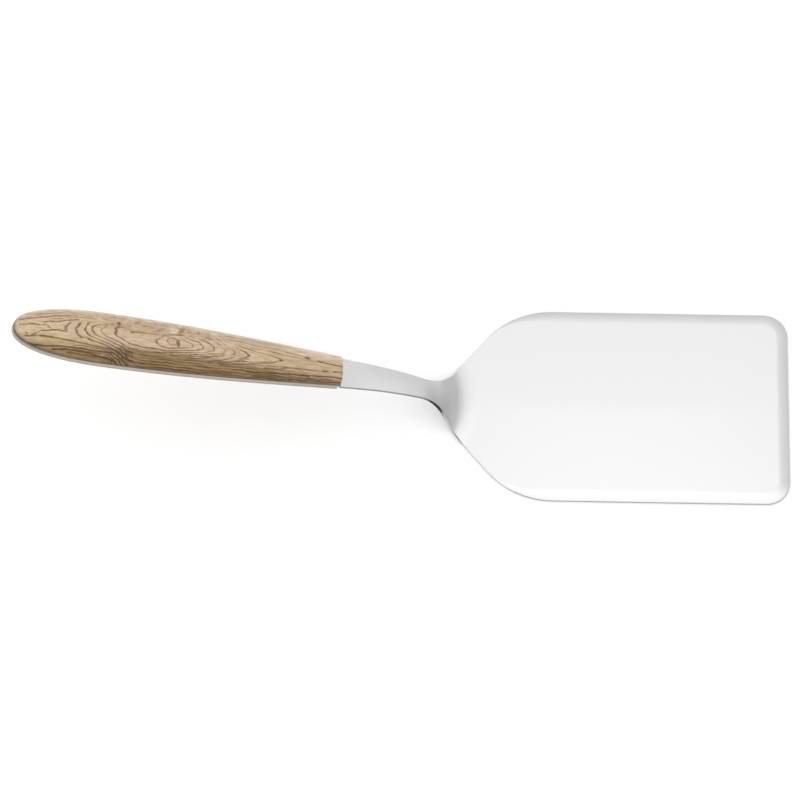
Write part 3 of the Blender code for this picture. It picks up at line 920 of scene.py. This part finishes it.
def make_floor():
    """A plain white floor, a hair under the resting plane."""
    half = FLOOR_SIZE / 2
    floor = level_sheet("floor", [(-half, -half), (half, -half), (half, half), (-half, half)], -FLOOR_DROP)
    material, shader = new_material("white_floor")
    shader.inputs["Emission Color"].default_value = (*WHITE, 1.0)
    shader.inputs["Emission Strength"].default_value = FLOOR_LIFT
    floor.data.materials.append(material)


def make_softbox():
    """A large soft light over the server, which the blade's flat mirrors."""
    left, right = SOFTBOX_X
    near, far = SOFTBOX_Y
    corners = [(left, near), (left, far), (right, far), (right, near)]
    box = level_sheet("softbox", corners, SOFTBOX_HEIGHT)
    box.visible_camera = False
    material = bpy.data.materials.new("softbox_glow")
    material.use_nodes = True
    tree = material.node_tree
    tree.nodes.clear()
    sketch = Sketch(tree)
    x, y, _ = sketch.place()
    wing = sketch.ramp(y, *WING_Y[0]) * sketch.ramp(y, *WING_Y[1])
    past_left = sketch.math("MAXIMUM", x - WING_LEFT, 0.0)
    drawn_in = x - sketch.math("MINIMUM", past_left, wing * SOFTBOX_WING)
    drawn_in = sketch.math("MINIMUM", drawn_in, SOFTBOX_SHARES_X[-1][0])
    shares = sketch.curve(drawn_in, SOFTBOX_SHARES_X) * sketch.curve(y, SOFTBOX_SHARES_Y)
    emission = tree.nodes.new("ShaderNodeEmission")
    sketch.join(shares * SOFTBOX_GAIN + SKY_UPPER, emission.inputs["Strength"])
    output = tree.nodes.new("ShaderNodeOutputMaterial")
    tree.links.new(emission.outputs[0], output.inputs[0])
    box.data.materials.append(material)


def make_world():
    """An even sky, darker at the horizon and on the side of the camera."""
    world = bpy.data.worlds.new("studio")
    bpy.context.scene.world = world
    world.use_nodes = True
    background = world.node_tree.nodes["Background"]
    background.inputs["Color"].default_value = (*WHITE, 1.0)
    sketch = Sketch(world.node_tree)
    _, toward_y, sine = sketch.place("Generated")
    height = sketch.ramp(sine, 0.0, SKY_CLEAR_SINE)
    sky = height * (SKY_UPPER - SKY_HORIZON) + SKY_HORIZON
    camera_side = sketch.ramp(toward_y, *CAMERA_SIDE_SHARES, CAMERA_SIDE_DIMMING, 1.0)
    sketch.join(sky * camera_side, background.inputs["Strength"])


def make_camera():
    """The photograph's viewpoint."""
    ahead = Vector((0.0, math.cos(VIEW_ELEVATION), -math.sin(VIEW_ELEVATION)))
    level_up = Vector((0.0, math.sin(VIEW_ELEVATION), math.cos(VIEW_ELEVATION)))
    level_right = Vector((1.0, 0.0, 0.0))
    right = level_right * math.cos(VIEW_ROLL) - level_up * math.sin(VIEW_ROLL)
    up = level_up * math.cos(VIEW_ROLL) + level_right * math.sin(VIEW_ROLL)
    pixel = VIEW_DISTANCE / FOCAL_PIXELS
    target = VIEW_TARGET + (up - right) * HALF_PIXEL * pixel
    data = bpy.data.cameras.new("camera")
    data.sensor_width = SENSOR
    data.lens = FOCAL_PIXELS * SENSOR / PICTURE
    data.clip_start, data.clip_end = CAMERA_CLIP
    camera = bpy.data.objects.new("camera", data)
    bpy.context.scene.collection.objects.link(camera)
    turn = Matrix((right, up, -ahead)).transposed().to_4x4()
    camera.matrix_world = Matrix.Translation(target - ahead * VIEW_DISTANCE) @ turn
    bpy.context.scene.camera = camera


def satin_steel():
    """Finely ground steel, with a faint lengthwise grain in its gloss, and painted reflection and painted
    shade on the neck, riser and edge band.
    """
    material, shader = new_material("satin_steel")
    sketch = Sketch(material.node_tree)
    x, y, z = sketch.place()
    grain = sketch.noise("steel_grain", x, y, z)
    clouds = sketch.noise("steel_clouds", x, y, z)
    sketch.join(layered(STEEL_ROUGHNESS, grain, clouds), shader.inputs["Roughness"])
    # painted reflection and painted shade: the neck is brightened and the riser darkened towards their
    # near side
    near_side = sketch.ramp(y, NECK_PAINTED_LIGHT_REACH, -NECK_PAINTED_LIGHT_REACH)
    painted_light = sketch.curve(x, NECK_PAINTED_LIGHT_SHARES) * near_side
    # painted shade darkens the rolled edge band, above the thinned edge's height
    band_painted_shade = sketch.ramp(z, EDGE_THICKNESS, SHEET_THICKNESS, BAND_PAINTED_SHADE, 1.0)
    shade = layered(STEEL_SHADE, grain, clouds) * (painted_light + 1.0) * band_painted_shade
    sketch.join(sketch.grey(shade), shader.inputs["Base Color"])
    sketch.bump(grain, STEEL_RELIEF, shader)
    return material


def cut_steel():
    """The sheet's cut wall: duller, with painted shade that darkens it at the crank."""
    material, shader = new_material("cut_steel")
    sketch = Sketch(material.node_tree)
    x, y, z = sketch.place()
    grain = sketch.noise("cut_grain", x, y, z)
    # painted shade: the cut wall's reflectance along X, nearly black at the crank
    shade = sketch.curve(x, CUT_EDGE_PAINTED_SHADE_SHARES) * layered(CUT_SHADE, grain)
    sketch.join(sketch.grey(shade), shader.inputs["Base Color"])
    sketch.join(layered(CUT_ROUGHNESS, grain), shader.inputs["Roughness"])
    return material


def grain_lines(sketch, along, across):
    """How dark the grain's lines are, from 0 to 1, over the handle."""
    above = across - sketch.curve(along, HEART_LINE)
    below = sketch.ramp(above, *BELOW_HEART)
    crowding = sketch.curve(along, RING_CROWDING) * below
    crowding = crowding + sketch.curve(along, UPPER_CROWDING) * (1.0 - below)
    rings_along = sketch.curve(along, RINGS_ALONG)
    rings_across = sketch.curve(above * crowding, RINGS_ACROSS)
    rings = sketch.math("POWER", rings_along * rings_along + rings_across * rings_across, 0.5)
    off_ring = sketch.math("PINGPONG", rings, RING_HALF)
    beside = rings_across / rings
    sideways = beside * beside
    half_width = sideways * SIDE_HALF_WIDTH + sketch.curve(along, TIP_WIDTHS) * (1.0 - sideways)
    tip_strength = sketch.curve(along, TIP_STRENGTHS) * (1.0 - sideways)
    measures = {"along": along, "across": across, "above": above, "rings": rings, "sideways": sideways}
    in_band = sketch.area(measures, BAND_AREA)
    shown = sketch.ramp(off_ring / half_width, *RING_EDGE) * (1.0 - in_band)
    for gap in RING_GAPS:
        shown = shown * (1.0 - sketch.area(measures, gap))
    band_place = (across + sketch.curve(along, EDGE_LINE)) / BAND_LINE_PITCH
    off_band_line = sketch.math("PINGPONG", band_place + BAND_LINE_START, RING_HALF)
    band_shown = sketch.ramp(off_band_line, *BAND_LINE_EDGE) * in_band

    from_eye = sketch.math("POWER", sketch.squared_way(along, across, EYE_PLACE, EYE_REACH), 0.5)
    lines = sketch.ramp(sketch.math("ABSOLUTE", from_eye - 1.0), *EYE_EDGE)
    for place, reach in DARK_SPOTS:
        lines = sketch.math("MAXIMUM", lines, sketch.spot(along, across, place, reach))
    for width, strength, points in GRAIN_STROKES:
        off_line = sketch.math("ABSOLUTE", across - sketch.curve(along, points))
        first, last = points[0][0], points[-1][0]
        stroke = sketch.ramp(off_line, width * STROKE_CORE, width, strength, 0.0)
        stroke = stroke * sketch.ramp(along, first, first + STROKE_TAPER)
        stroke = stroke * sketch.ramp(along, last, last - STROKE_TAPER)
        lines = sketch.math("MAXIMUM", lines, stroke)

    fade = sketch.noise("ring_fade", along, across)
    side_strength = sketch.ramp(fade, *RING_FADE) + below * sketch.ramp(fade, *LOWER_RING_FADE)
    lines = sketch.math("MAXIMUM", lines, shown * (side_strength * sideways + tip_strength))
    band_fade = sketch.noise("band_fade", along, across)
    return sketch.math("MAXIMUM", lines, band_shown * sketch.ramp(band_fade, *BAND_LINE_FADE))


def grained_wood(handle_frame):
    """Light tan wood with dark arched grain, darker along its near side, with a painted highlight along
    its far rim and the far side of its front.
    """
    material, shader = new_material("grained_wood")
    for name, share in WOOD_GLOSS.items():
        shader.inputs[name].default_value = share
    sketch = Sketch(material.node_tree)
    x, y, z = sketch.place(frame_matrix=handle_frame)
    along = x / -MILLIMETRE
    across = y / MILLIMETRE
    sway = sketch.noise("sway", along, across) - NOISE_MIDDLE
    shake = sketch.noise("shake", along, across) - NOISE_MIDDLE
    swayed = across + sway * SWAY_ACROSS + shake * SHAKE_ACROSS
    shifted = along + shake * SHAKE_ALONG + sketch.noise("shift", along, across) * SHIFT_ALONG
    lines = grain_lines(sketch, shifted - SHIFT_ALONG * NOISE_MIDDLE, swayed)

    burl = sketch.spot(along, across, BURL_PLACE, BURL_REACH)
    leant = along * BURL_LEAN
    streaks = sketch.noise("burl", leant + across, across * BURL_SQUEEZE - leant)
    lines = sketch.math("MAXIMUM", lines, burl * sketch.ramp(streaks, *BURL_STEP))
    fibre = sketch.noise("fibre", along, across)
    pores = sketch.ramp(sketch.noise("pores", along, across), *PORE_STEP)

    brown_line = sketch.curve(along, BROWN_LINE)
    off_brown = across + sway * SWAY_OF_TONES - brown_line
    brown = sketch.ramp(off_brown / sketch.curve(along, BROWN_SPREADS), 1.0, -1.0)
    brown = brown * sketch.ramp(along, *BROWN_FADE)
    dark_bands = sketch.ramp(sketch.noise("dark_bands", along, across), *DARK_BAND_STEP)
    lines = sketch.math("MAXIMUM", lines, dark_bands * brown)
    patches = sketch.noise("patches", along, across)
    light = sketch.blend(sketch.ramp(patches, *YELLOW_STEP), WOOD_LIGHT, WOOD_YELLOW)
    light = sketch.blend(sketch.ramp(patches, *PINK_STEP), light, WOOD_PINK)
    knot = sketch.spot(along, across, KNOT_PLACE, KNOT_REACH)
    leant = along + across * KNOT_SHADE_LEAN
    knot_shade = sketch.spot(leant, across, KNOT_SHADE_PLACE, KNOT_SHADE_REACH) * KNOT_SHADE_SHARE
    measures = {"along": along, "across": across}
    light = sketch.blend(sketch.area(measures, YELLOW_AREA), light, WOOD_YELLOW)
    smudges = sketch.ramp(sketch.noise("smudges", along, across), *SMUDGE_STEP)
    smudged = smudges * sketch.area(measures, SMUDGED_AREA) + sketch.area(measures, VEILED_AREA)
    shade = sketch.math("MAXIMUM", knot_shade, smudged)
    light = sketch.blend(shade, light, WOOD_LIGHT_LINE)
    from_edge = sketch.curve(along, EDGE_LINE) - across
    # painted highlight along the far rim
    pale = sketch.ramp(from_edge + sway * SWAY_OF_TONES, *PAINTED_RIM_HIGHLIGHT)
    light = sketch.blend(pale, light, WOOD_PAINTED_HIGHLIGHT)
    # painted highlight on the far side of the front
    light = sketch.blend(sketch.area(measures, FRONT_PAINTED_HIGHLIGHT_AREA), light, WOOD_PAINTED_HIGHLIGHT)
    light = sketch.blend(sketch.area(measures, TANNED_AREA), light, WOOD_BROWN)
    light = sketch.blend(knot * KNOT_SHARE, light, WOOD_KNOT)
    ground = sketch.blend(brown, light, WOOD_BROWN)
    ink = sketch.blend(brown, WOOD_LIGHT_LINE, WOOD_BROWN_LINE)
    drawn = sketch.math("MAXIMUM", lines * LINE_SHARE, pores * PORE_SHARE)
    grained = sketch.blend(sketch.math("MINIMUM", drawn, 1.0), ground, ink)
    boards = sketch.noise("boards", along, across)
    tone = sketch.ramp(fibre, *FIBRE_TONE) * sketch.ramp(boards, *BOARD_TONE)
    seam = sketch.ramp(z, FIT_GAP + SEAM_SHADE_HEIGHT, FIT_GAP, 1.0, SEAM_SHADE)
    toned = sketch.node("ShaderNodeVectorMath", operation="SCALE")
    sketch.join(grained, toned.inputs[0])
    sketch.join(tone * seam, toned.inputs["Scale"])
    sketch.join(Value(sketch, toned.outputs[0]), shader.inputs["Base Color"])
    sketch.join(layered(WOOD_ROUGHNESS, lines, fibre), shader.inputs["Roughness"])
    sketch.bump(fibre - pores, WOOD_RELIEF, shader)
    return material


def pale_base(handle_frame):
    """Smooth pale moulding with a faint mottle, painted shade along its belly and a line of painted shade
    under the seam.
    """
    material, shader = new_material("pale_base")
    sketch = Sketch(material.node_tree)
    x, y, z = sketch.place(frame_matrix=handle_frame)
    mottle = sketch.noise("base_mottle", x, y, z)
    specks = sketch.noise("base_specks", x, y, z)
    colour = sketch.blend(mottle, BASE_DARK, BASE_LIGHT)
    # painted shade along the belly
    colour = sketch.blend(sketch.ramp(z, *BELLY_PAINTED_SHADE_STEP), colour, BELLY_PAINTED_SHADE_COLOUR)
    # painted shade under the seam, taller towards the butt
    seam_painted_shade = sketch.ramp(z + sketch.ramp(x, *SEAM_PAINTED_SHADE_SPREAD), *SEAM_PAINTED_SHADE_STEP)
    sketch.join(sketch.blend(seam_painted_shade, colour, SEAM_PAINTED_SHADE_COLOUR), shader.inputs["Base Color"])
    sketch.join(layered(BASE_ROUGHNESS, specks), shader.inputs["Roughness"])
    sketch.bump(specks, BASE_RELIEF, shader)
    return material


def pin_steel():
    """Plain turned steel, with fine rings round the pin."""
    material, shader = new_material("pin_steel")
    sketch = Sketch(material.node_tree)
    rings = sketch.noise("pin_rings", *sketch.place())
    sketch.join(sketch.blend(rings, PIN_DARK, PIN_LIGHT), shader.inputs["Base Color"])
    sketch.join(layered(PIN_ROUGHNESS, rings), shader.inputs["Roughness"])
    return material


def main():
    """Dresses the model, and makes the stage, the light and the camera."""
    handle_frame = handle_matrix()
    dress(make_steel(), [satin_steel(), cut_steel()], "blade_and_neck")
    dress(make_scale(handle_frame), [grained_wood(handle_frame)], "handle_scale")
    dress(make_base(handle_frame), [pale_base(handle_frame)], "handle_base")
    pin_material = pin_steel()
    for name in ("tang_pin_front", "tang_pin_rear"):
        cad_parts[name].data.materials.clear()
        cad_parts[name].data.materials.append(pin_material)
    make_floor()
    make_softbox()
    make_world()
    make_camera()
    bpy.context.scene.view_settings.view_transform = "Standard"


main()
